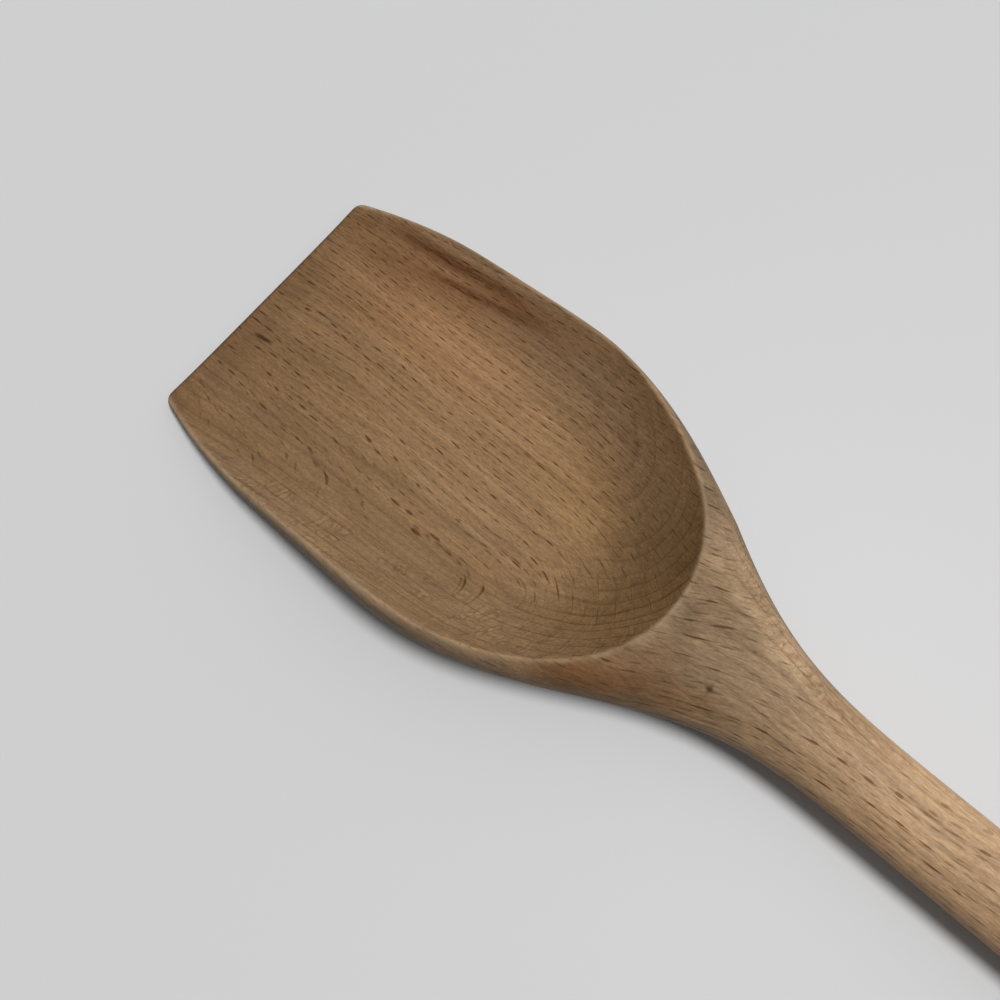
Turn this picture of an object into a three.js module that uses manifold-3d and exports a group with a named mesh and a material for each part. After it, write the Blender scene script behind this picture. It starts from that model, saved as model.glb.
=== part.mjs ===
import * as THREE from 'three';
import { mergeVertices } from 'three/addons/utils/BufferGeometryUtils.js';
import Module from 'manifold-3d';

// Flat-fronted wooden spoon, carved from one billet of beech.
// Millimetres. X runs from the blade's edge to the end of the handle,
// Y goes across and Z goes up from the table that the spoon lies on.

// Lengths along the spoon, measured from the blade's edge
const totalLength = 320;
const hollowLength = 117.5; // to the rear rim of the bowl
const rearArcStart = 70.5; // where the rear arc of the rim begins
const flareLength = 36; // the blade widens over this length
const waistStart = 60; // where the sides begin to turn in
const soleEnd = 66; // rear end of the flat underside
const bilgeFull = 95; // from here on the underside is round all across
const keelEnd = 145; // where the underside has come up to the handle
const neckEnd = 188; // where the neck has become the plain handle

// Half widths
const edgeHalfWidth = 33.1; // at the blade's edge, before its corners are rounded
const bowlHalfWidth = 38; // at the widest place
const gripHalfWidth = 9.1; // handle at the neck
const endHalfWidth = 9.3; // handle near its end

// Heights above the table
const edgeThickness = 2.2; // floor of the hollow at the blade's edge
const edgeLip = 0.8; // rim above that floor at the front corners
const floorThickness = 5.6; // floor of the bowl
const rearRimHeight = 28;
const gripHalfHeight = 8.2; // handle at the neck
const endHalfHeight = 8.4; // handle near its end
const neckAxisHeight = 11.6; // centre of the handle at the neck

// Rounded edges
const cornerRadius = 2.4; // corners of the blade, seen from above
const frontRimWidth = 1.3; // from the hollow out to the widest line, at the edge
const rearRimWidth = 3.7; // the same at the rear of the bowl
const endRound = 9.5; // length of the rounded end of the handle
const frontBilge = 3.4; // rounded border of the underside at the edge

// Fullness of the curves
const hollowPower = 4.2; // higher: flatter floor and steeper walls
const rimRise = 1.32; // higher: the rim climbs sooner
const waistPower = 2.75; // higher: the bowl stays wide for longer
const waistDepth = 6.8; // higher: the neck is slimmer
const neckFall = 2.6; // higher: the neck drops faster behind the rear rim
const roundPower = 2.2; // shoulders and underside, 2 is an ellipse
const bowlWidest = 0.62; // share of the height where the bowl is widest
const handleWidest = 0.5;

// Mesh steps
const cornerSteps = 5;
const bladeSteps = 28;
const neckSteps = 22;
const gripSteps = 12;
const endSteps = 7;
const quarterSteps = 12;
const hollowSteps = 24;
const hollowAcross = 28;
const cutMargin = 6; // how far the hollow's cutter reaches past the wood

const mix = THREE.MathUtils.lerp;
const smooth = (a, b, x) => THREE.MathUtils.smoothstep(x, a, b);
const share = (a, b, x) => THREE.MathUtils.clamp((x - a) / (b - a), 0, 1);

const endStart = totalLength - endRound;
const gripBlend = (x) => smooth(neckEnd, endStart, x);

// Widest line seen from above: flared blade, waist, plain handle
function halfWidth(x) {
  if (x <= waistStart) {
    const flare = 1 - share(0, flareLength, x);
    return bowlHalfWidth - (bowlHalfWidth - edgeHalfWidth) * flare ** 2;
  }
  const turn = share(waistStart, neckEnd, x);
  const fall = (1 - turn ** waistPower) ** waistDepth;
  const handle = mix(gripHalfWidth, endHalfWidth, gripBlend(x));
  return handle + (bowlHalfWidth - handle) * fall;
}

// Rounded shoulder between the hollow and the widest line, all round on the handle
function rimWidth(x) {
  const bowl = mix(frontRimWidth, rearRimWidth, smooth(0, hollowLength, x));
  return mix(bowl, halfWidth(x), smooth(rearArcStart, neckEnd, x));
}

// Rounded border of the underside
function bilgeWidth(x) {
  return mix(frontBilge, halfWidth(x), smooth(0, bilgeFull, x));
}

// The handle runs down a little, so that its end lies on the table too
function handleLine(x) {
  const axis = mix(neckAxisHeight, endHalfHeight, share(neckEnd, endStart, x));
  const half = mix(gripHalfHeight, endHalfHeight, gripBlend(x));
  return { axis, top: axis + half, bottom: axis - half };
}

// Rim line of the bowl, then the back of the neck
function topHeight(x) {
  const front = edgeThickness + edgeLip;
  const climb = 1 - (1 - share(0, hollowLength, x)) ** rimRise;
  const rim = mix(front, rearRimHeight, climb);
  const fall = (1 - share(hollowLength, neckEnd, x)) ** neckFall;
  return mix(handleLine(x).top, rim, fall);
}

// Flat under the bowl, then up to the underside of the handle
function bottomHeight(x) {
  return handleLine(x).bottom * smooth(soleEnd, keelEnd, x);
}

const roundFall = (s) => (1 - s ** roundPower) ** (1 / roundPower);

// Closed section of the billet at x, from +Y over the top and back underneath
function billetSection(x) {
  const corner = cornerRadius * (1 - share(0, cornerRadius, x));
  const cut = cornerRadius - Math.sqrt(cornerRadius ** 2 - corner ** 2);
  const end = Math.sqrt(1 - share(endStart, totalLength, x) ** 2);
  const axis = handleLine(x).axis;
  const wide = (halfWidth(x) - cut) * end;
  const shoulder = Math.min(rimWidth(x), halfWidth(x)) * end;
  const bilge = Math.min(bilgeWidth(x), halfWidth(x)) * end;
  const top = mix(axis, topHeight(x), end);
  const bottom = mix(axis, bottomHeight(x), end);
  const widest = mix(bowlWidest, handleWidest, smooth(rearArcStart, neckEnd, x));
  const side = mix(bottom, top, widest);
  const loop = [];
  for (let i = 0; i < 4 * quarterSteps; i += 1) {
    const y = wide * Math.cos((i / quarterSteps) * (Math.PI / 2));
    const upper = i <= 2 * quarterSteps;
    const border = upper ? shoulder : bilge;
    const height = (upper ? top : bottom) - side;
    const s = share(wide - border, wide, Math.abs(y));
    loop.push([x, y, side + height * roundFall(s)]);
  }
  return loop;
}

// The hollow: open at the blade's edge, straight sides, elliptic rear
const rearReach = hollowLength - rearArcStart;
const hollowHalfWidth = (x) => halfWidth(x) - rimWidth(x);

// 0 along the middle of the hollow, 1 on its rim
function rimShare(x, y) {
  const across = y / hollowHalfWidth(Math.min(x, rearArcStart));
  return Math.hypot(Math.max(0, x - rearArcStart) / rearReach, across);
}

function hollowHeight(x, y) {
  const floor = mix(edgeThickness, floorThickness, smooth(0, rearArcStart, x));
  return floor + (topHeight(x) - floor) * rimShare(x, y) ** hollowPower;
}

// Closed section of the cutter, a little wider than the rim and open upwards
const overcut = 1 + cutMargin / bowlHalfWidth / 2;
const cutTop = rearRimHeight + 2 * cutMargin;

function hollowSection(x) {
  const back = Math.max(0, x - rearArcStart) / (rearReach * overcut);
  const wide = hollowHalfWidth(Math.min(x, rearArcStart)) * overcut;
  const reach = wide * Math.sqrt(1 - back * back);
  const loop = [[x, reach, cutTop], [x, -reach, cutTop]];
  for (let i = 0; i <= hollowAcross; i += 1) {
    const y = -reach * Math.cos((i / hollowAcross) * Math.PI);
    loop.push([x, y, hollowHeight(x, y)]);
  }
  return loop;
}

// Closed skin over a row of sections, with a middle point on each end
function loft(sections, first, last) {
  const points = sections.flat();
  const count = sections[0].length;
  const index = [];
  for (let i = 0; i + 1 < sections.length; i += 1) {
    for (let j = 0; j < count; j += 1) {
      const a = i * count + j;
      const b = i * count + ((j + 1) % count);
      index.push(a, b, a + count, b, b + count, a + count);
    }
  }
  const head = points.push(first) - 1;
  const tail = points.push(last) - 1;
  const end = (sections.length - 1) * count;
  for (let j = 0; j < count; j += 1) {
    const next = (j + 1) % count;
    index.push(head, next, j, tail, end + j, end + next);
  }
  const geometry = new THREE.BufferGeometry();
  geometry.setAttribute('position', new THREE.Float32BufferAttribute(points.flat(), 3));
  geometry.setIndex(index);
  return mergeVertices(geometry);
}

const steps = (from, to, count) =>
  Array.from({ length: count }, (_, i) => mix(from, to, i / count));
const quarterTurn = (count, i) => (i / count) * (Math.PI / 2);

// Section places: close together at the rounded corners and at the handle's end
const billetPlaces = [
  ...Array.from({ length: cornerSteps }, (_, i) =>
    cornerRadius * (1 - Math.cos(quarterTurn(cornerSteps, i)))),
  ...steps(cornerRadius, hollowLength, bladeSteps),
  ...steps(hollowLength, neckEnd, neckSteps),
  ...steps(neckEnd, endStart, gripSteps),
  ...Array.from({ length: endSteps }, (_, i) =>
    endStart + endRound * Math.sin(quarterTurn(endSteps, i))),
];
const cutterPlaces = [
  ...steps(-cutMargin, rearArcStart, hollowSteps),
  ...Array.from({ length: hollowSteps }, (_, i) =>
    rearArcStart + rearReach * overcut * Math.sin(quarterTurn(hollowSteps, i))),
];
const cutterEnd = rearArcStart + rearReach * overcut;

const billet = loft(
  billetPlaces.map(billetSection),
  [0, 0, topHeight(0) / 2],
  [totalLength, 0, handleLine(totalLength).axis],
);
const cutter = loft(
  cutterPlaces.map(hollowSection),
  [-cutMargin, 0, cutTop - cutMargin],
  [cutterEnd, 0, cutTop - cutMargin],
);

const wasm = await Module();
wasm.setup();

function toSolid(geometry) {
  return new wasm.Manifold(new wasm.Mesh({
    numProp: 3,
    vertProperties: geometry.attributes.position.array,
    triVerts: new Uint32Array(geometry.index.array),
  }));
}

function toGeometry(solid) {
  const mesh = solid.getMesh();
  const geometry = new THREE.BufferGeometry();
  geometry.setAttribute('position', new THREE.BufferAttribute(mesh.vertProperties, 3));
  geometry.setIndex(new THREE.BufferAttribute(mesh.triVerts, 1));
  geometry.computeVertexNormals();
  return geometry;
}

const beech = new THREE.MeshStandardMaterial({
  name: 'beech',
  color: 0xb98a5e,
  roughness: 0.62,
  metalness: 0,
});

const spoon = new THREE.Mesh(toGeometry(toSolid(billet).subtract(toSolid(cutter))), beech);
spoon.name = 'spoon';
spoon.position.x = -totalLength / 2;

const group = new THREE.Group();
group.name = 'wooden_spoon';
group.add(spoon);

export default group;
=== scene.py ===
import math
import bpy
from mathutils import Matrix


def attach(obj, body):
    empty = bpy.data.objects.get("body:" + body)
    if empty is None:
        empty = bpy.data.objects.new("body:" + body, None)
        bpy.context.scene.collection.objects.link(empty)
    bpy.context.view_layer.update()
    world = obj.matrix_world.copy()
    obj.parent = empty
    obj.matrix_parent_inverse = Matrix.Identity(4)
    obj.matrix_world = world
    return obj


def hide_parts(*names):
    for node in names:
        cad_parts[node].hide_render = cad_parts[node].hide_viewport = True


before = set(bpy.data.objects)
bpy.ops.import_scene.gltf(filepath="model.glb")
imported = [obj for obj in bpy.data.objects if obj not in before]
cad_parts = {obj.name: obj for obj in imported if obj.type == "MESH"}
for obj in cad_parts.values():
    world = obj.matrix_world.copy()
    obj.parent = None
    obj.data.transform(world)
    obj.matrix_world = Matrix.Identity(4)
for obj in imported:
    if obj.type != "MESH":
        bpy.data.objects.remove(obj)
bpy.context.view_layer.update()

from types import SimpleNamespace

import bpy
import numpy as np
from mathutils import Matrix, Vector

MM = 0.001

# Sizes of the spoon in millimetres, with X counted from the blade's edge
TOTAL = 320.0
HOLLOW = 117.5
ARC = 70.5
FLARE = 36.0
WAIST = 60.0
SOLE_END = 66.0
BILGE_FULL = 95.0
KEEL_END = 145.0
NECK_END = 188.0
EDGE_HALF = 33.1
BOWL_HALF = 38.0
GRIP_HALF = 9.1
END_HALF = 9.3
EDGE_THICK = 2.2
EDGE_LIP = 0.8
FLOOR_THICK = 5.6
REAR_RIM = 28.0
GRIP_HIGH = 8.2
END_HIGH = 8.4
NECK_AXIS = 11.6
CORNER = 2.4
RIM_FRONT = 1.3
RIM_REAR = 3.7
END_ROUND = 9.5
BILGE_FRONT = 3.4
END_START = TOTAL - END_ROUND

# Fullness of the curves, and the share of the height where the spoon is widest
HOLLOW_POWER = 4.2
RIM_RISE = 1.32
WAIST_POWER = 2.75
WAIST_DEPTH = 6.8
NECK_FALL = 2.6
ROUND_POWER = 2.2
BOWL_WIDEST = 0.62
HANDLE_WIDEST = 0.5

# Softened edges that the sanding left; at the rim, no more than a share of the hollow's depth
NOSE = 1.1
NOSE_LEFT = 0.3
RIM_SOFT = 0.45
SOFT_SHARE = 0.35
SOFT_LEAST = 0.1

# The rim is a little thinner along the middle of the +Y side
RIM_THIN = 0.9
THIN_START = (4.0, 40.0)
THIN_END = (76.0, 106.0)
THIN_ACROSS = (-20.0, 20.0)

# Cross rows of the mesh, closer where the edge, the rear rim and the handle's end turn.
# Steps and places are in millimetres; END_TURN, in radians, is just short of the tip.
NOSE_ROWS = 12
BLADE_STEP = 0.75
REAR_START = 92.0
REAR_STEP = 0.34
REAR_END = 124.0
NECK_STEP = 1.2
GRIP_ROWS = 40
END_ROWS = 16
END_TURN = 1.47
HALF_COLUMNS = 70

# The hollow's formula is used up to here
HOLLOW_REACH = HOLLOW + 8.0


def share(a, b, x):
    return np.clip((x - a) / (b - a), 0.0, 1.0)


def smooth(a, b, x):
    t = share(a, b, x)
    return t * t * (3.0 - 2.0 * t)


def mix(a, b, t):
    return a + (b - a) * t


def half_width(x):
    flare = 1.0 - share(0.0, FLARE, x)
    front = BOWL_HALF - (BOWL_HALF - EDGE_HALF) * flare ** 2
    fall = (1.0 - share(WAIST, NECK_END, x) ** WAIST_POWER) ** WAIST_DEPTH
    handle = mix(GRIP_HALF, END_HALF, smooth(NECK_END, END_START, x))
    return np.where(x <= WAIST, front, handle + (BOWL_HALF - handle) * fall)


def rim_width(x):
    bowl = mix(RIM_FRONT, RIM_REAR, smooth(0.0, HOLLOW, x))
    return mix(bowl, half_width(x), smooth(ARC, NECK_END, x))


def handle_line(x):
    axis = mix(NECK_AXIS, END_HIGH, share(NECK_END, END_START, x))
    half = mix(GRIP_HIGH, END_HIGH, smooth(NECK_END, END_START, x))
    return axis, half


def top_height(x):
    axis, half = handle_line(x)
    climb = 1.0 - (1.0 - share(0.0, HOLLOW, x)) ** RIM_RISE
    rim = mix(EDGE_THICK + EDGE_LIP, REAR_RIM, climb)
    fall = (1.0 - share(HOLLOW, NECK_END, x)) ** NECK_FALL
    return mix(axis + half, rim, fall)


def bottom_height(x):
    axis, half = handle_line(x)
    return (axis - half) * smooth(SOLE_END, KEEL_END, x)


def rim_thinning(x, y):
    along = smooth(*THIN_START, x) * (1.0 - smooth(*THIN_END, x))
    return RIM_THIN * along * smooth(*THIN_ACROSS, y)


def rim_share(x, y):
    """0 along the middle of the hollow, 1 on its rim."""
    inner = half_width(np.minimum(x, ARC)) - rim_width(np.minimum(x, ARC))
    inner = inner + rim_thinning(x, y)
    back = np.maximum(0.0, x - ARC) / (HOLLOW - ARC)
    return np.hypot(back, y / inner)


def soft_min(a, b, k):
    h = np.clip(0.5 + 0.5 * (b - a) / k, 0.0, 1.0)
    return mix(b, a, h) - k * h * (1.0 - h)


def round_fall(s):
    return np.maximum(1.0 - s ** ROUND_POWER, 0.0) ** (1.0 / ROUND_POWER)


def row_places():
    nose = CORNER * (1.0 - np.cos(np.linspace(0.0, math.pi / 2, NOSE_ROWS + 1)[:-1]))
    blade = np.arange(CORNER, REAR_START, BLADE_STEP)
    rear = np.arange(REAR_START, REAR_END, REAR_STEP)
    neck = np.arange(REAR_END, NECK_END, NECK_STEP)
    grip = np.linspace(NECK_END, END_START, GRIP_ROWS + 1)[:-1]
    end = END_START + END_ROUND * np.sin(np.linspace(0.0, END_TURN, END_ROWS))
    return np.concatenate([nose, blade, rear, neck, grip, end])


def spoon_points():
    """Rows of points over the top and along the underside, and the top's shares of the rim."""
    x = row_places()[:, None]
    corner = CORNER * (1.0 - share(0.0, CORNER, x))
    cut = CORNER - np.sqrt(CORNER ** 2 - corner ** 2)
    end = np.sqrt(1.0 - share(END_START, TOTAL, x) ** 2)
    axis, _ = handle_line(x)
    wide = (half_width(x) - cut) * end
    top = mix(axis, top_height(x), end)
    bottom = mix(axis, bottom_height(x), end)
    bilge = mix(BILGE_FRONT, half_width(x), smooth(0.0, BILGE_FULL, x)) * end
    widest = mix(BOWL_WIDEST, HANDLE_WIDEST, smooth(ARC, NECK_END, x))
    side = mix(bottom, top, widest)
    turn = np.linspace(math.pi / 2, -math.pi / 2, 2 * HALF_COLUMNS + 1)[None, :]
    y = wide * np.sin(turn)
    shoulder = (np.minimum(rim_width(x), half_width(x)) - rim_thinning(x, y)) * end
    over = side + (top - side) * round_fall(share(wide - shoulder, wide, np.abs(y)))
    under = side + (bottom - side) * round_fall(share(wide - bilge, wide, np.abs(y)))
    # The hollow, with a rim that is softer where the walls are tall
    floor = mix(EDGE_THICK, FLOOR_THICK, smooth(0.0, ARC, x))
    depth = top_height(x) - floor
    ring = rim_share(np.minimum(x, HOLLOW_REACH), y)
    hollow = floor + depth * ring ** HOLLOW_POWER
    soft = np.minimum(RIM_SOFT, SOFT_SHARE * depth + SOFT_LEAST)
    cupped = soft_min(over, hollow, soft)
    over = np.where(x < HOLLOW_REACH, np.minimum(cupped, over), over)
    # Blunt, rounded front edge
    nose = np.sqrt(np.clip(1.0 - (1.0 - share(0.0, NOSE, x)) ** 2, 0.0, 1.0))
    nose = mix(NOSE_LEFT, 1.0, nose)
    middle = 0.5 * EDGE_THICK
    over = np.where(x < NOSE, middle + (over - middle) * nose, over)
    under = np.where(x < NOSE, middle + (under - middle) * nose, under)
    xs = np.broadcast_to(x, y.shape)
    upper = np.stack([xs, y, over], -1)
    lower = np.stack([xs, y, under], -1)
    return upper, lower, ring


# The bowl ends at a share of the rim, and a little behind its rear rim
BOWL_BORDER = (0.985, 1.015)
BOWL_END = (HOLLOW, HOLLOW + 2.0)

# Worn line on the rim, from front to rear: share of the rim, half width and strength
LINE_RANGE = (65.0, 105.0)
LINE_PLACE = (1.02, 1.005)
LINE_HALF = (0.9, 0.4)
LINE_STRENGTH = (1.0, 0.7)
LINE_END = HOLLOW + 4.0

# Dark edge of the blade
EDGE_RANGE = (0.1, 1.3)

# Walls of the bowl: how much painted light pales them at the top and painted shade darkens them at
# the foot
WALL_RANGE = (30.0, 60.0)
REAR_RANGE = (85.0, 110.0)
ACROSS_RANGE = (-20.0, 20.0)
BROW_RANGE = (0.82, 1.0)
BROW_LIGHT = (0.2, 0.34)
BROW_LIGHT_MORE = 0.08
FOOT_START = (0.5, 0.7)
FOOT_END = (0.75, 0.92)
FOOT_SHADE = (0.04, 0.14)


def surface_marks(upper, ring):
    """Values for each point of the top, which the material reads."""
    x = upper[:, :, 0]
    in_bowl = (1.0 - smooth(*BOWL_BORDER, ring)) * (1.0 - smooth(*BOWL_END, x))
    rear = smooth(*LINE_RANGE, x)
    rim_away = (ring - mix(*LINE_PLACE, rear)) * BOWL_HALF
    on_rim = np.exp(-(rim_away / mix(*LINE_HALF, rear)) ** 2) * mix(*LINE_STRENGTH, rear)
    on_rim = on_rim * (x < LINE_END)
    on_edge = 1.0 - smooth(*EDGE_RANGE, x)
    aside = smooth(*ACROSS_RANGE, upper[:, :, 1])
    # Painted light near the rim and painted shade at the foot of the walls
    brow_light = mix(*BROW_LIGHT, smooth(*REAR_RANGE, x)) + BROW_LIGHT_MORE * aside
    foot = smooth(*FOOT_START, ring) * (1.0 - smooth(*FOOT_END, ring))
    foot = mix(*FOOT_SHADE, aside) * foot
    wall_light_and_shade = (brow_light * smooth(*BROW_RANGE, ring) - foot) * smooth(*WALL_RANGE, x)
    return {"in_bowl": in_bowl, "wall_light_and_shade": wall_light_and_shade, "on_rim": on_rim, "on_edge": on_edge}


def spoon_mesh():
    upper, lower, ring = spoon_points()
    rows, cols, _ = upper.shape
    inner = lower[:, 1:-1, :]
    points = np.concatenate([upper.reshape(-1, 3), inner.reshape(-1, 3)])
    up = np.arange(rows * cols).reshape(rows, cols)
    low = np.empty((rows, cols), int)
    low[:, 0] = up[:, 0]
    low[:, -1] = up[:, -1]
    low[:, 1:-1] = rows * cols + np.arange(rows * (cols - 2)).reshape(rows, cols - 2)
    faces = []

    def skin(grid, flip):
        a = grid[:-1, :-1].ravel()
        b = grid[1:, :-1].ravel()
        c = grid[1:, 1:].ravel()
        d = grid[:-1, 1:].ravel()
        quad = (a, d, c, b) if flip else (a, b, c, d)
        faces.extend(np.stack(quad, -1).tolist())

    skin(up, True)
    skin(low, False)
    # Close the blade's edge and the tip of the handle
    for row, flip in ((0, False), (rows - 1, True)):
        for j in range(cols - 1):
            cap = [up[row, j], up[row, j + 1], low[row, j + 1], low[row, j]]
            cap = list(dict.fromkeys(int(i) for i in cap))
            faces.append(cap[::-1] if flip else cap)
    points = points - np.array([TOTAL / 2, 0.0, 0.0])
    mesh = bpy.data.meshes.new("spoon_wood")
    mesh.from_pydata((points * MM).tolist(), [], faces)
    mesh.polygons.foreach_set("use_smooth", [True] * len(mesh.polygons))
    for name, values in surface_marks(upper, ring).items():
        below = values[:, 1:-1] if name == "on_edge" else np.zeros(inner.shape[:2])
        data = np.concatenate([values.ravel(), below.ravel()]).astype(np.float32)
        mesh.attributes.new(name, "FLOAT", "POINT").data.foreach_set("value", data)
    mesh.update()
    return mesh


spoon = bpy.data.objects.new("spoon_wood", spoon_mesh())
bpy.context.scene.collection.objects.link(spoon)
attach(spoon, "root")
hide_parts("spoon")


class Graph:
    """Short calls for adding and joining shader nodes."""

    # Where a spot and a band begin to fade, and the share of a band's length that fades
    SPOT_FULL = 0.15
    BAND_FULL = 0.3
    BAND_FADE = 0.35

    def __init__(self, tree):
        self.tree = tree

    def feed(self, socket, value):
        if isinstance(value, bpy.types.NodeSocket):
            self.tree.links.new(value, socket)
        else:
            socket.default_value = value

    def add(self, kind, out, feeds, **settings):
        node = self.tree.nodes.new(kind)
        for key, value in settings.items():
            setattr(node, key, value)
        for key, value in feeds.items():
            self.feed(node.inputs[key], value)
        return node.outputs[out]

    def math(self, op, a, b=0.0, clamp=False):
        return self.add("ShaderNodeMath", 0, {0: a, 1: b}, operation=op, use_clamp=clamp)

    def times(self, a, b):
        return self.math("MULTIPLY", a, b)

    def vec(self, op, a, b):
        return self.add("ShaderNodeVectorMath", 0, {0: a, 1: b}, operation=op)

    def scaled(self, vector, scale):
        return self.vec("MULTIPLY", vector, scale)

    def noise(self, place, detail, rough=0.5, out="Fac"):
        feeds = {"Vector": place, "Scale": 1.0, "Detail": detail, "Roughness": rough}
        return self.add("ShaderNodeTexNoise", out, feeds)

    def drift(self, place, detail, reach):
        """A noise vector about 0 that spans reach along each axis."""
        wave = self.noise(place, detail, out="Color")
        return self.scaled(self.vec("SUBTRACT", wave, (0.5, 0.5, 0.5)), reach)

    def ramp(self, value, low, high, to_low=0.0, to_high=1.0):
        feeds = {0: value, 1: low, 2: high, 3: to_low, 4: to_high}
        return self.add("ShaderNodeMapRange", 0, feeds, interpolation_type="SMOOTHSTEP")

    def fade(self, value, low, high):
        """1 up to low, 0 from high on."""
        return self.ramp(value, low, high, 1.0, 0.0)

    def blend(self, factor, a, b, mode="MIX"):
        return self.add("ShaderNodeMix", 2, {0: factor, 6: a, 7: b},
                        data_type="RGBA", blend_type=mode)

    def tint(self, factor, color, shade):
        return self.blend(factor, color, shade, "MULTIPLY")

    def shade(self, color, tone):
        return self.tint(1.0, color, self.xyz(tone, tone, tone))

    def xyz(self, x, y, z):
        return self.add("ShaderNodeCombineXYZ", 0, {0: x, 1: y, 2: z})

    def split(self, vector):
        node = self.tree.nodes.new("ShaderNodeSeparateXYZ")
        self.feed(node.inputs[0], vector)
        return node.outputs[0], node.outputs[1], node.outputs[2]

    def size(self, vector):
        return self.add("ShaderNodeVectorMath", "Value", {0: vector}, operation="LENGTH")

    def attribute(self, name):
        return self.add("ShaderNodeAttribute", "Fac", {}, attribute_name=name)

    def white(self, cell):
        """Three random numbers for each cell."""
        return self.add("ShaderNodeTexWhiteNoise", "Color", {"Vector": cell})

    def spot(self, place, middle, size):
        """1 in the middle of an oval, 0 outside it; place and size in millimetres."""
        away = self.vec("DIVIDE", self.vec("SUBTRACT", place, middle), size)
        return self.fade(self.size(away), self.SPOT_FULL, 1.0)

    def band(self, place, start, end, width):
        """1 along the line from start to end, 0 at its ends and width away from it."""
        way = Vector(end) - Vector(start)
        away = self.vec("SUBTRACT", place, start)
        t = self.add("ShaderNodeVectorMath", "Value", {0: away, 1: way}, operation="DOT_PRODUCT")
        t = self.math("DIVIDE", t, way.length_squared, True)
        foot = self.scaled(self.xyz(t, t, t), way)
        gap = self.size(self.vec("SUBTRACT", away, foot))
        nearer_end = self.math("MINIMUM", t, self.math("SUBTRACT", 1.0, t))
        inside = self.fade(gap, self.BAND_FULL * width, width)
        return self.times(self.ramp(nearer_end, 0.0, self.BAND_FADE), inside)

    def seen(self):
        """1 for what the camera sees, straight or in a gloss or a glass, else 0."""
        path = self.tree.nodes.new("ShaderNodeLightPath")
        straight = path.outputs["Is Camera Ray"]
        mirrored = self.math("MAXIMUM", path.outputs["Is Glossy Ray"],
                             path.outputs["Is Transmission Ray"])
        return self.math("MAXIMUM", straight, mirrored)


# Where the heart of the tree lay, in millimetres across and above the table, and its taper
PITH_Y = 51.0
PITH_Z = -38.0
TAPER = -0.012

# Growth rings: their spacing in millimetres, and by how many rings noise shifts them
RING_STEP = 2.9
RING_UNEVEN = 1.6

# Radius in millimetres at which an angle round the heart is taken as a length
TURN_SCALE = 80.0

# The grain's slow waves, sway and curl: noise scales, and span in millimetres
WAVE_SCALE = (0.014, 0.03, 0.03)
WAVE = (0.0, 6.0, 6.0)
SWAY_SCALE = (0.03, 0.12, 0.12)
SWAY = 1.6
CURL_SCALE = (0.35, 0.35, 0.35)
CURL = (2.4, 1.4, 0.0)

# The grain runs askew by a slope and, where the neck begins, by some millimetres more
ASKEW = 0.045
ASKEW_RANGE = (106.0, 146.0)
NECK_ASKEW = 8.0

# Noise scales along the grain, round the heart and away from it
UNEVEN_SCALE = (0.003, 0.012, 0.3)
STREAK_SCALE = (0.03, 1.2, 1.2)
FIBRE_SCALE = (1.0, 3.4, 3.4)
LANE_SCALE = (0.010, 0.42, 0.30)
CLOUD_SCALE = (0.007, 0.05, 0.10)
WORN_SCALE = (0.5, 0.5, 0.5)
FINE_ROUGH = 0.65

# Ranges of the noise, and the tones of lanes, streaks and fibres at their ends
BROAD_RANGE = (0.3, 0.7)
FINE_RANGE = (0.28, 0.72)
LANE_TONE = (0.92, 1.07)
STREAK_TONE = (0.82, 1.16)
FIBRE_TONE = (0.80, 1.18)

# A ring darkens slowly and ends in a thin line; its depth depends on how the surface cuts it
LATE_POWER = 3.0
LATE_BROAD = 0.3
LATE_START = (0.78, 0.94)
LATE_END = (0.95, 1.0)
RING_CUT = (0.2, 0.65)
RING_DEPTH = (0.40, 0.18)
RING_END_CUT = (0.3, 0.8)
RING_END_DEPTH = 0.20

# How far the bowl's two walls turn to the side where their bluer tint, with painted shade on the
# wall that faces the light and painted light on the other, begins and is full
LIT_WALL_TURN = (0.15, 0.7)
SHADED_WALL_TURN = (-0.25, -0.72)

# Where the neck begins and ends for the wood's look; from there on the rays are thicker and longer
NECK_IN = (102.0, 130.0)
NECK_OUT = (150.0, 185.0)
GROW_RANGE = (108.0, 128.0)
GROW = 1.55
NECK_GROW = 0.35
STRETCH = 0.3

# Rays: how deep a plate reaches, how far they lean from the radius, and how they vary
RAY_DEPTH = 24.0
RAY_LEAN = 0.18
NECK_LEAN = -0.32
RAY_SHIFT = 40.0
RAY_ASIDE = 0.4
RAY_THIN = 0.65
RAY_REACH = (0.22, 0.46)
TAIL_REACH = 0.52
TAIL_THIN = 1.4
TAIL = 0.65
BORDER = 0.38

# How the surface cuts a ray: where it shows as a dash, where as a flake, and where it is slim
DASH_CUT = (0.06, 0.38)
DASH_END_CUT = (0.2, 0.8)
DASHES_END = 0.6
PAST_START = (-0.05, -0.25)
PAST_END = (-0.8, -0.6)
DASHES_PAST = 0.2
FLAKE_CUT = (0.05, 0.28)
FLAKES_OUTSIDE = 0.35
SLIM_CUT = (0.1, 0.7)
SLIM = 0.3

# How a ray fades: the plate, its tail and its border, in shares of its size
PLATE_FADE = (0.55, 1.05)
DASH_RANGE = (0.0, 0.7)
DASH_LEAST = 0.25
TAIL_FADE = (0.3, 1.1)
BORDER_IN = (0.35, 0.95)
BORDER_OUT = (0.95, 1.6)

# Rays: row pitch and step in millimetres, half thickness, strength as dashes and as flakes
RAYS = [
    (2.9, 4.0, 0.16, 1.0, 0.0),
    (1.3, 3.1, 0.12, 0.6, 0.3),
    (3.0, 3.4, 0.40, 0.0, 1.0),
    (2.1, 2.7, 0.30, 0.0, 1.0),
]

# Colours of the wood, of the worn rim and of the edge
PALE = (0.371, 0.247, 0.138, 1.0)
TAN = (0.328, 0.211, 0.111, 1.0)
RIM = (0.40, 0.285, 0.185, 1.0)
EDGE = (0.35, 0.30, 0.25, 1.0)

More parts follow.
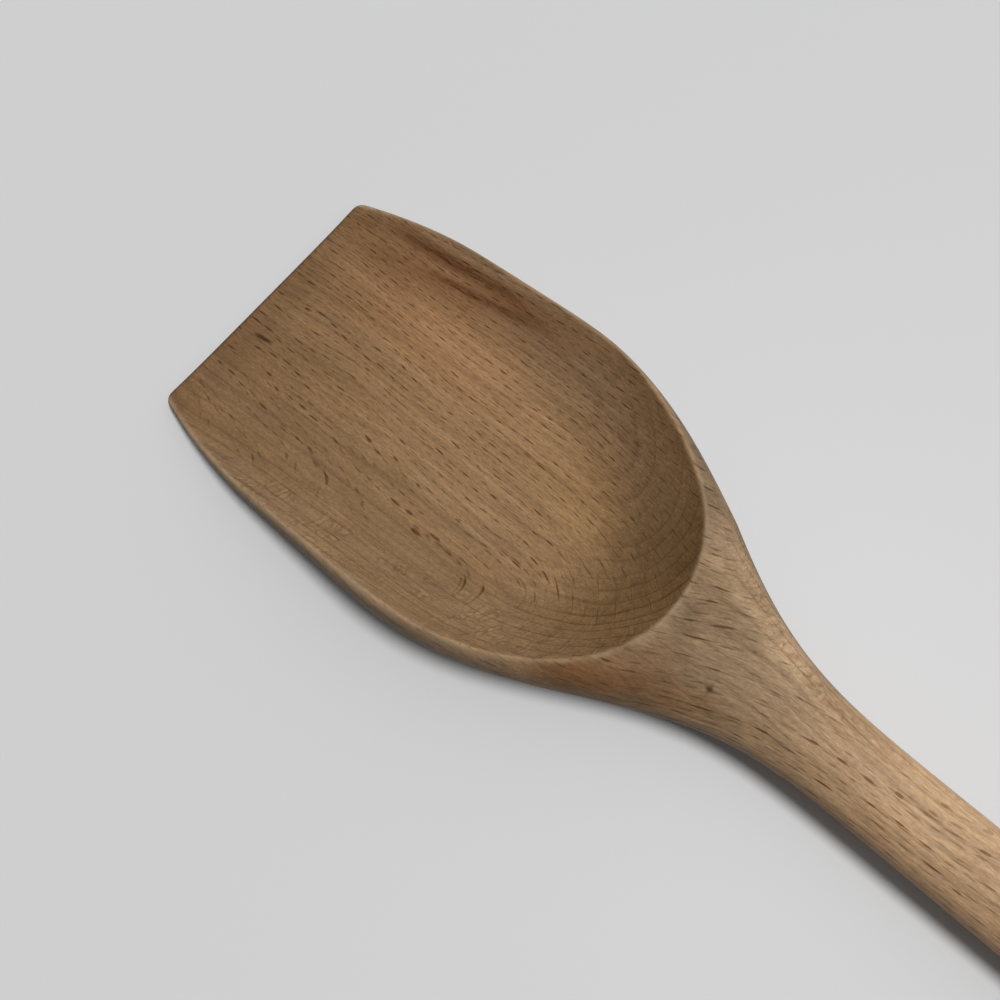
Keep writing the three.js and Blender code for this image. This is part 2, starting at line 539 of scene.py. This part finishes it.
# Shades that multiply the colour: rings and rays, then the bowl, the handle and the marks
RING = (0.52, 0.42, 0.34, 1.0)
FLECK = (0.42, 0.32, 0.24, 1.0)
FLAKE = (1.18, 1.18, 1.18, 1.0)
# Bluer tints for the bowl's two walls: painted shade on the wall that faces the light, painted
# light on the wall in shade
LIT_WALL_TINT_AND_SHADE = (0.90, 0.96, 1.07, 1.0)
SHADED_WALL_TINT_AND_LIGHT = (1.20, 1.25, 1.38, 1.0)
# Painted shade, with a browner tint, for the bowl's front
FRONT_PAINTED_SHADE = (0.72, 0.63, 0.54, 1.0)
BOWL_TINT = (0.94, 0.85, 0.74, 1.0)
END_TINT = (0.80, 0.80, 0.72, 1.0)
HANDLE_TINT = (1.05, 1.04, 1.09, 1.0)
DARK = (0.30, 0.21, 0.15, 1.0)
BROWN = (0.59, 0.43, 0.30, 1.0)
UMBER = (0.44, 0.30, 0.21, 1.0)
# Painted light, with a ruddy tint
RUDDY_PAINTED_LIGHT = (1.18, 1.08, 1.05, 1.0)
# Painted sheen and light, bluer
PAINTED_SHEEN = (1.62, 1.70, 1.86, 1.0)
# Painted light
PAINTED_LIGHT = (1.18, 1.18, 1.22, 1.0)
# Painted shade
PAINTED_SHADE = (0.86, 0.86, 0.86, 1.0)
# A stain, partly painted shade
STAIN_AND_SHADE = (0.80, 0.69, 0.60, 1.0)
# Painted shade along the blade's edge
EDGE_PAINTED_SHADE = (0.84, 0.82, 0.80, 1.0)
# Darker, a little bluer
SHOULDER_DARKER = (0.72, 0.74, 0.79, 1.0)
# Painted light
FLANK_PAINTED_LIGHT = (1.30, 1.30, 1.34, 1.0)
GREY = (0.74, 0.71, 0.68, 1.0)
# Painted shade
LEFT_FRONT_PAINTED_SHADE = (0.91, 0.91, 0.92, 1.0)
# Painted light
FLOOR_PAINTED_LIGHT = (1.08, 1.09, 1.02, 1.0)

# Ranges along the spoon of the painted shade at the bowl's front, of the flanks' painted shade and
# of the paler handle
FRONT_RANGE = (5.0, 65.0)
FLANK_END = (130.0, 160.0)
HANDLE_RANGE = (100.0, 125.0)
PALER_RANGE = (125.0, 180.0)
PALER = (0.80, 1.60)
HANDLE_TINT_RANGE = (120.0, 170.0)

# Lie of the surface over which the end grain changes tone and the flanks take painted shade, and
# how dark that shade is
END_TINT_CUT = (0.25, 0.85)
FLANK_TURN = (0.0, 0.8)
FLANK_SHADE = 0.60

# Spots: middle and half size in millimetres, shade and depth
SPOTS = [
    ((131.9, -7.4, 24.0), (1.6, 0.7, 4.0), DARK, 0.8),
    ((131.9, -7.4, 24.0), (0.7, 1.6, 4.0), DARK, 0.6),
    ((121.5, -1.0, 27.0), (4.5, 6.0, 6.0), GREY, 0.9),
    # Painted light with a ruddy tint on the +Y front of the floor
    ((34.0, 24.0, 5.0), (46.0, 20.0, 16.0), RUDDY_PAINTED_LIGHT, 0.9),
    # Painted light on the floor, further back on the +Y side
    ((90.0, 9.5, 6.5), (24.0, 14.0, 8.0), FLOOR_PAINTED_LIGHT, 1.0),
    # Painted shade on the -Y front of the floor
    ((26.0, -21.0, 5.0), (30.0, 15.0, 14.0), LEFT_FRONT_PAINTED_SHADE, 1.0),
]

# Streaks in the bowl, seen from above: start, end and half width in millimetres, shade and depth
STREAKS = [
    ((3.6, -8.2), (10.6, -7.0), 0.75, DARK, 1.0),
    ((2.0, 32.4), (72.0, 34.2), 2.3, BROWN, 0.85),
    ((18.0, 33.3), (56.0, 34.4), 1.1, UMBER, 0.6),
    ((10.0, 32.6), (44.0, 33.4), 0.7, UMBER, 0.6),
    ((18.0, 28.2), (68.0, 32.7), 2.0, BROWN, 0.6),
    ((22.0, 28.6), (62.0, 32.2), 1.0, UMBER, 0.8),
    ((42.0, 32.2), (78.0, 33.0), 2.4, BROWN, 0.2),
    ((0.0, 26.0), (48.0, 27.0), 2.0, BROWN, 0.3),
    ((10.0, 22.0), (40.0, 23.4), 1.2, BROWN, 0.18),
]

# How far the fibres break up the streaks, and how much of the rim is worn
BROKEN_RANGE = (0.42, 0.56)
BROKEN = 0.5
WORN_RANGE = (0.35, 0.65)
WORN = (0.25, 0.8)

# Bands of painted light and shade in the bowl, then painted light and sheen, a darker band and a
# stain with painted shade on the rest: start, end and half width in millimetres, and shade
BOWL_LIGHT_AND_SHADE = [
    # Painted shade along the blade's edge
    ((2.0, -60.0, 2.5), (2.0, 40.0, 2.5), 9.0, EDGE_PAINTED_SHADE),
    # Painted light along the floor's +Y side
    ((0.0, 13.0, 2.5), (104.0, 20.0, 7.0), 12.0, PAINTED_LIGHT),
    # Painted shade along the floor's -Y side
    ((20.0, -22.0, 5.0), (106.0, -11.0, 7.0), 10.0, PAINTED_SHADE),
    # Painted light on the rear wall's -Y side
    ((80.0, -36.0, 10.0), (120.0, -4.0, 20.0), 8.5, PAINTED_LIGHT),
]
NECK_LIGHT_SHADE_AND_STAIN = [
    # Painted sheen and light on the neck's +Y flank
    ((104.0, 18.0, 28.0), (152.0, 6.0, 20.5), 7.0, PAINTED_SHEEN),
    # Painted light along the -Y flank of the neck and handle
    ((118.0, -18.5, 20.0), (156.0, -8.5, 17.0), 5.0, FLANK_PAINTED_LIGHT),
    ((120.0, -12.0, 17.0), (260.0, -8.5, 13.0), 6.0, FLANK_PAINTED_LIGHT),
    # Darker along the +Y shoulder behind the bowl
    ((86.0, 39.0, 21.5), (122.0, 11.5, 28.5), 4.5, SHOULDER_DARKER),
    # A stain with painted shade on the -Y flank beside the neck
    ((95.0, -28.0, 25.0), (141.0, -8.0, 23.5), 5.5, STAIN_AND_SHADE),
    ((100.0, -31.0, 23.5), (130.0, -3.0, 28.0), 6.0, STAIN_AND_SHADE),
]

# Gloss, and the height of the raised fibres and sunken rays in metres
GLOSS_RANGE = (0.2, 0.8)
ROUGHNESS = (0.68, 0.54)
SPECULAR = 0.15
BUMP_STRENGTH = 0.4
BUMP_HEIGHT = 0.00012
RAISED = 0.5
SUNKEN = 0.5

# How much of the edge's colour shows
EDGE_DEPTH = 0.7


def lay_grain(g):
    """The tree's own directions in the spoon, and how the surface cuts them."""
    coords = g.tree.nodes.new("ShaderNodeTexCoord")
    place = g.scaled(coords.outputs["Object"], (1.0 / MM, 1.0 / MM, 1.0 / MM))
    place = g.vec("ADD", place, (TOTAL / 2, 0.0, 0.0))
    px, _, _ = g.split(place)
    wavy = g.vec("ADD", place, g.drift(g.scaled(place, WAVE_SCALE), 2.0, WAVE))
    askew = g.times(g.math("SUBTRACT", px, HOLLOW), ASKEW)
    askew = g.math("ADD", askew, g.ramp(px, *ASKEW_RANGE, 0.0, NECK_ASKEW))
    skewed = g.vec("SUBTRACT", wavy, g.xyz(0.0, askew, 0.0))
    x, y, z = g.split(g.vec("SUBTRACT", skewed, (0.0, PITH_Y, PITH_Z)))
    length = g.math("SQRT", g.math("ADD", g.times(y, y), g.times(z, z)))
    radius = g.math("ADD", length, g.times(x, TAPER))
    around = g.times(g.math("ARCTAN2", z, y), TURN_SCALE)
    sway = g.math("SUBTRACT", g.noise(g.scaled(place, SWAY_SCALE), 1.0), 0.5)
    around = g.math("ADD", around, g.times(sway, SWAY))
    # The rays are longer in the neck and the handle
    behind = g.math("MAXIMUM", g.math("SUBTRACT", x, HOLLOW), 0.0)
    grain = g.xyz(g.math("SUBTRACT", x, g.times(behind, STRETCH)), around, radius)
    curled = g.vec("ADD", grain, g.drift(g.scaled(place, CURL_SCALE), 1.0, CURL))
    # How far the surface faces along the radius, shifted by the rays' lean
    nx, ny, nz = g.split(coords.outputs["Normal"])
    neck = g.times(g.ramp(px, *NECK_IN), g.fade(px, *NECK_OUT))
    lean = g.ramp(neck, 0.0, 1.0, RAY_LEAN, NECK_LEAN)
    toward = g.math("ADD", g.times(ny, y), g.times(nz, z))
    toward = g.math("ADD", g.math("DIVIDE", toward, length), lean)
    return SimpleNamespace(
        place=place, px=px, wavy=wavy, grain=grain, curled=curled, radius=radius,
        ny=ny, nz=nz, neck=neck, toward=toward,
        plain_cut=g.math("ABSOLUTE", toward),
        end_cut=g.math("ABSOLUTE", nx),
        bowl=g.attribute("in_bowl"),
        streak=g.noise(g.scaled(grain, STREAK_SCALE), 4.0, FINE_ROUGH),
        fibre=g.noise(g.scaled(grain, FIBRE_SCALE), 3.0, FINE_ROUGH))


def growth_color(g, wood):
    """Fibres and growth rings, and the two walls' bluer tint, with painted shade on the wall that
    faces the light and painted light on the wall in shade.
    """
    lane = g.noise(g.scaled(wood.grain, LANE_SCALE), 1.0)
    cloud = g.noise(g.scaled(wood.grain, CLOUD_SCALE), 2.0)
    color = g.blend(g.ramp(cloud, *BROAD_RANGE), PALE, TAN)
    color = g.shade(color, g.ramp(lane, *BROAD_RANGE, *LANE_TONE))
    color = g.shade(color, g.ramp(wood.streak, *FINE_RANGE, *STREAK_TONE))
    color = g.shade(color, g.ramp(wood.fibre, *FINE_RANGE, *FIBRE_TONE))
    # A thin dark line ends each ring
    uneven = g.noise(g.scaled(wood.grain, UNEVEN_SCALE), 2.0)
    phase = g.math("ADD", g.math("DIVIDE", wood.radius, RING_STEP), g.times(uneven, RING_UNEVEN))
    phase = g.math("FRACT", phase)
    line = g.times(g.ramp(phase, *LATE_START), g.fade(phase, *LATE_END))
    late = g.math("ADD", g.times(g.math("POWER", phase, LATE_POWER), LATE_BROAD), line)
    ring_depth = g.ramp(wood.plain_cut, *RING_CUT, *RING_DEPTH)
    end_depth = g.ramp(wood.end_cut, *RING_END_CUT, 0.0, RING_END_DEPTH)
    ring_depth = g.math("ADD", ring_depth, end_depth)
    color = g.tint(g.times(late, ring_depth), color, RING)
    # Painted shade on the wall that faces the light, painted light on the wall in shade, both
    # bluer
    color = g.tint(g.times(g.ramp(wood.ny, *LIT_WALL_TURN), wood.bowl), color, LIT_WALL_TINT_AND_SHADE)
    return g.tint(g.times(g.ramp(wood.ny, *SHADED_WALL_TURN), wood.bowl), color, SHADED_WALL_TINT_AND_LIGHT)


def rays(g, grain, grow, pitch, step, half_thick):
    """Wood rays: thin plates in rows along the grain, each with its own size and depth.

    Gives the distance from the middle of the nearest plate, 1 on its border, the same for the
    thin line that it tapers into, and the plate's depth.
    """
    x, around, radius = g.split(grain)
    lane = g.math("DIVIDE", around, pitch)
    row = g.math("FLOOR", lane)
    across = g.math("SUBTRACT", g.math("FRACT", lane), 0.5)
    start, _, _ = g.split(g.white(g.xyz(row, pitch, step)))
    run = g.math("ADD", g.math("DIVIDE", x, step), g.times(start, RAY_SHIFT))
    column = g.math("FLOOR", run)
    along = g.math("SUBTRACT", g.math("FRACT", run), 0.5)
    layer = g.math("FLOOR", g.math("ADD", g.math("DIVIDE", radius, RAY_DEPTH), start))
    reach, aside, depth = g.split(g.white(g.xyz(row, column, layer)))
    across = g.math("ADD", across, g.times(g.math("SUBTRACT", aside, 0.5), RAY_ASIDE))
    across = g.times(across, g.times(radius, pitch / TURN_SCALE))
    thick = g.times(grow, g.ramp(depth, 0.0, 1.0, RAY_THIN * half_thick, half_thick))
    across = g.math("DIVIDE", across, thick)
    plate = g.math("DIVIDE", along, g.ramp(reach, 0.0, 1.0, *RAY_REACH))
    away = g.size(g.xyz(plate, across, 0.0))
    line = g.math("DIVIDE", along, TAIL_REACH)
    tail = g.size(g.xyz(line, g.times(across, TAIL_THIN), 0.0))
    return away, tail, depth


def add_rays(g, wood, color):
    """Dark dashes on a cut across the radius, pale flakes with a thin border along it."""
    dark = g.ramp(wood.plain_cut, *DASH_CUT)
    dark = g.times(dark, g.ramp(wood.end_cut, *DASH_END_CUT, 1.0, DASHES_END))
    # On the far side of the strip of flakes, few dashes are left
    past = g.times(g.ramp(wood.toward, *PAST_START), g.ramp(wood.toward, *PAST_END))
    dark = g.times(dark, g.ramp(past, 0.0, 1.0, 1.0, DASHES_PAST))
    flaky = g.math("MAXIMUM", wood.bowl, wood.neck)
    along = g.fade(wood.plain_cut, *FLAKE_CUT)
    along = g.times(along, g.ramp(flaky, 0.0, 1.0, FLAKES_OUTSIDE, 1.0))
    grow = g.math("ADD", g.ramp(wood.px, *GROW_RANGE, 1.0, GROW), g.times(wood.neck, NECK_GROW))
    slim = g.times(grow, g.ramp(wood.plain_cut, *SLIM_CUT, SLIM, 1.0))
    sunken = 0.0
    for pitch, step, half_thick, dashes, flakes in RAYS:
        form = (wood.grain, slim) if dashes else (wood.curled, grow)
        away, tail, depth = rays(g, *form, pitch, step, half_thick)
        inside = g.fade(away, *PLATE_FADE)
        dash = g.times(inside, g.ramp(depth, *DASH_RANGE, DASH_LEAST, 1.0))
        dash = g.math("MAXIMUM", dash, g.ramp(tail, *TAIL_FADE, TAIL, 0.0))
        dash = g.times(dash, dashes)
        sunken = g.math("ADD", dash, sunken)
        color = g.tint(g.times(dash, dark), color, FLECK)
        color = g.tint(g.times(inside, g.times(along, flakes)), color, FLAKE)
        border = g.times(g.ramp(away, *BORDER_IN), g.fade(away, *BORDER_OUT))
        border = g.times(border, g.times(along, BORDER * flakes))
        color = g.tint(border, color, RING)
    return color, sunken


def add_tones(g, wood, color):
    """Handling and food have toned the bowl; painted shade darkens its front, the flanks and the
    foot of the walls, painted light pales the walls' tops, and bands add painted light, shade,
    sheen and a stain; the handle is paler.
    """
    # Painted shade at the bowl's front, fading out towards its middle
    bowl_tint_and_front_shade = g.blend(g.ramp(wood.px, *FRONT_RANGE), FRONT_PAINTED_SHADE, BOWL_TINT)
    color = g.tint(wood.bowl, color, bowl_tint_and_front_shade)
    end_grain = g.times(g.ramp(wood.end_cut, *END_TINT_CUT), wood.bowl)
    color = g.tint(end_grain, color, END_TINT)
    # Painted light on the walls' tops and painted shade at their foot
    wall_light_and_shade = g.times(g.attribute("wall_light_and_shade"), wood.bowl)
    color = g.shade(color, g.math("ADD", wall_light_and_shade, 1.0))
    # Painted shade on the flanks, darker where they face sideways and down, ahead of the handle
    flank_shade = g.ramp(g.math("ADD", wood.nz, wood.bowl), *FLANK_TURN, FLANK_SHADE, 1.0)
    color = g.blend(g.fade(wood.px, *FLANK_END), color, g.shade(color, flank_shade))
    handle = g.shade(color, g.ramp(wood.px, *PALER_RANGE, *PALER))
    handle = g.tint(g.ramp(wood.px, *HANDLE_TINT_RANGE), handle, HANDLE_TINT)
    color = g.blend(g.ramp(wood.px, *HANDLE_RANGE), color, handle)
    # Bands of painted light and shade in the bowl, then painted light, sheen, a darker band and a
    # stain outside it
    for start, end, width, shade in BOWL_LIGHT_AND_SHADE:
        color = g.tint(g.band(wood.place, start, end, width), color, shade)
    outside = g.math("SUBTRACT", 1.0, wood.bowl)
    for start, end, width, shade in NECK_LIGHT_SHADE_AND_STAIN:
        mark = g.times(g.band(wood.place, start, end, width), outside)
        color = g.tint(mark, color, shade)
    return color


def add_marks(g, wood, color):
    """Spots, among them painted light and painted shade on the floor, streaks that the fibres
    break up, the worn rim and the dark edge.
    """
    for middle, size, shade, depth in SPOTS:
        mark = g.times(g.spot(wood.wavy, middle, size), depth)
        color = g.tint(mark, color, shade)
    flat = g.scaled(wood.place, (1.0, 1.0, 0.0))
    broken = g.times(g.ramp(wood.streak, *BROKEN_RANGE, BROKEN, 1.0), wood.bowl)
    for start, end, width, shade, depth in STREAKS:
        mark = g.times(g.band(flat, (*start, 0.0), (*end, 0.0), width), depth)
        color = g.tint(g.times(mark, broken), color, shade)
    worn = g.noise(g.scaled(wood.place, WORN_SCALE), 2.0)
    worn = g.ramp(worn, *WORN_RANGE, *WORN)
    color = g.blend(g.times(g.attribute("on_rim"), worn), color, RIM)
    return g.tint(g.times(g.attribute("on_edge"), EDGE_DEPTH), color, EDGE)


def beech_material():
    mat = bpy.data.materials.new("beech")
    mat.use_nodes = True
    g = Graph(mat.node_tree)
    shader = mat.node_tree.nodes["Principled BSDF"]
    wood = lay_grain(g)
    color, sunken = add_rays(g, wood, growth_color(g, wood))
    color = add_marks(g, wood, add_tones(g, wood, color))
    g.feed(shader.inputs["Base Color"], color)
    g.feed(shader.inputs["Roughness"], g.ramp(wood.streak, *GLOSS_RANGE, *ROUGHNESS))
    shader.inputs["Specular IOR Level"].default_value = SPECULAR
    height = g.math("SUBTRACT", g.times(wood.fibre, RAISED), g.times(sunken, SUNKEN))
    feeds = {"Strength": BUMP_STRENGTH, "Distance": BUMP_HEIGHT, "Height": height}
    g.feed(shader.inputs["Normal"], g.add("ShaderNodeBump", 0, feeds))
    return mat


# Table: half its width in metres, what it throws back on to the spoon, and what is seen of it
TABLE_HALF = 8.0
TABLE_BOUNCE = (0.26, 0.26, 0.26, 1.0)
TABLE_COLOR = (0.72, 0.72, 0.725, 1.0)
TABLE_ROUGHNESS = 0.55


def table_material():
    """A pale table; what it throws back on to the spoon is dimmer than what the camera sees."""
    mat = bpy.data.materials.new("table")
    mat.use_nodes = True
    g = Graph(mat.node_tree)
    shader = mat.node_tree.nodes["Principled BSDF"]
    g.feed(shader.inputs["Base Color"], g.blend(g.seen(), TABLE_BOUNCE, TABLE_COLOR))
    shader.inputs["Roughness"].default_value = TABLE_ROUGHNESS
    return mat


spoon.data.materials.append(beech_material())

corners = [(-1, -1), (1, -1), (1, 1), (-1, 1)]
floor_mesh = bpy.data.meshes.new("floor")
floor_mesh.from_pydata([(a * TABLE_HALF, b * TABLE_HALF, 0.0) for a, b in corners],
                       [], [(0, 1, 2, 3)])
floor = bpy.data.objects.new("floor", floor_mesh)
bpy.context.scene.collection.objects.link(floor)
floor.data.materials.append(table_material())

# Camera, nearly straight above the bowl: place in millimetres, and its own directions
EYE = (108.31 - TOTAL / 2, -30.59, 179.95)
RIGHT = Vector((0.75900, 0.65021, -0.03377))
UP = Vector((-0.62574, 0.74280, 0.23810))
AHEAD = Vector((-0.17991, 0.15959, -0.97065))
SENSOR = 36.0
LENS_SHARE = 0.8246
NEAREST = 0.005

cam_data = bpy.data.cameras.new("camera")
cam_data.sensor_fit = "HORIZONTAL"
cam_data.sensor_width = SENSOR
cam_data.lens = SENSOR * LENS_SHARE
cam_data.clip_start = NEAREST
cam = bpy.data.objects.new("camera", cam_data)
turn = Matrix((RIGHT, UP, -AHEAD)).transposed()
cam.matrix_world = Matrix.Translation(Vector(EYE) * MM) @ turn.to_4x4()
bpy.context.scene.collection.objects.link(cam)
bpy.context.scene.camera = cam

# Key light: a wide window high on the side of +X and +Y
KEY_ENERGY = 2.05
KEY_ANGLE = 14.0
KEY_WAY = Vector((-0.25, -0.19, -0.95))

key_data = bpy.data.lights.new("key", "SUN")
key_data.energy = KEY_ENERGY
key_data.angle = math.radians(KEY_ANGLE)
key = bpy.data.objects.new("key", key_data)
key.rotation_euler = KEY_WAY.to_track_quat("-Z", "Y").to_euler()
bpy.context.scene.collection.objects.link(key)

# A pale room, lighter on the side of the window; the camera sees it plain
ROOM_RANGE = (-0.8, 0.6)
ROOM_LIGHT = (0.02, 0.40)
ROOM_SEEN = 0.66

world = bpy.data.worlds.new("room")
bpy.context.scene.world = world
world.use_nodes = True
room = Graph(world.node_tree)
_, across_room, _ = room.split(room.add("ShaderNodeTexCoord", "Generated", {}))
backdrop = world.node_tree.nodes["Background"]
backdrop.inputs["Color"].default_value = (1.0, 1.0, 1.0, 1.0)
light = room.ramp(across_room, *ROOM_RANGE, *ROOM_LIGHT)
strength = room.add("ShaderNodeMix", 0, {0: room.seen(), 2: light, 3: ROOM_SEEN})
room.feed(backdrop.inputs["Strength"], strength)

bpy.context.scene.view_settings.view_transform = "Standard"
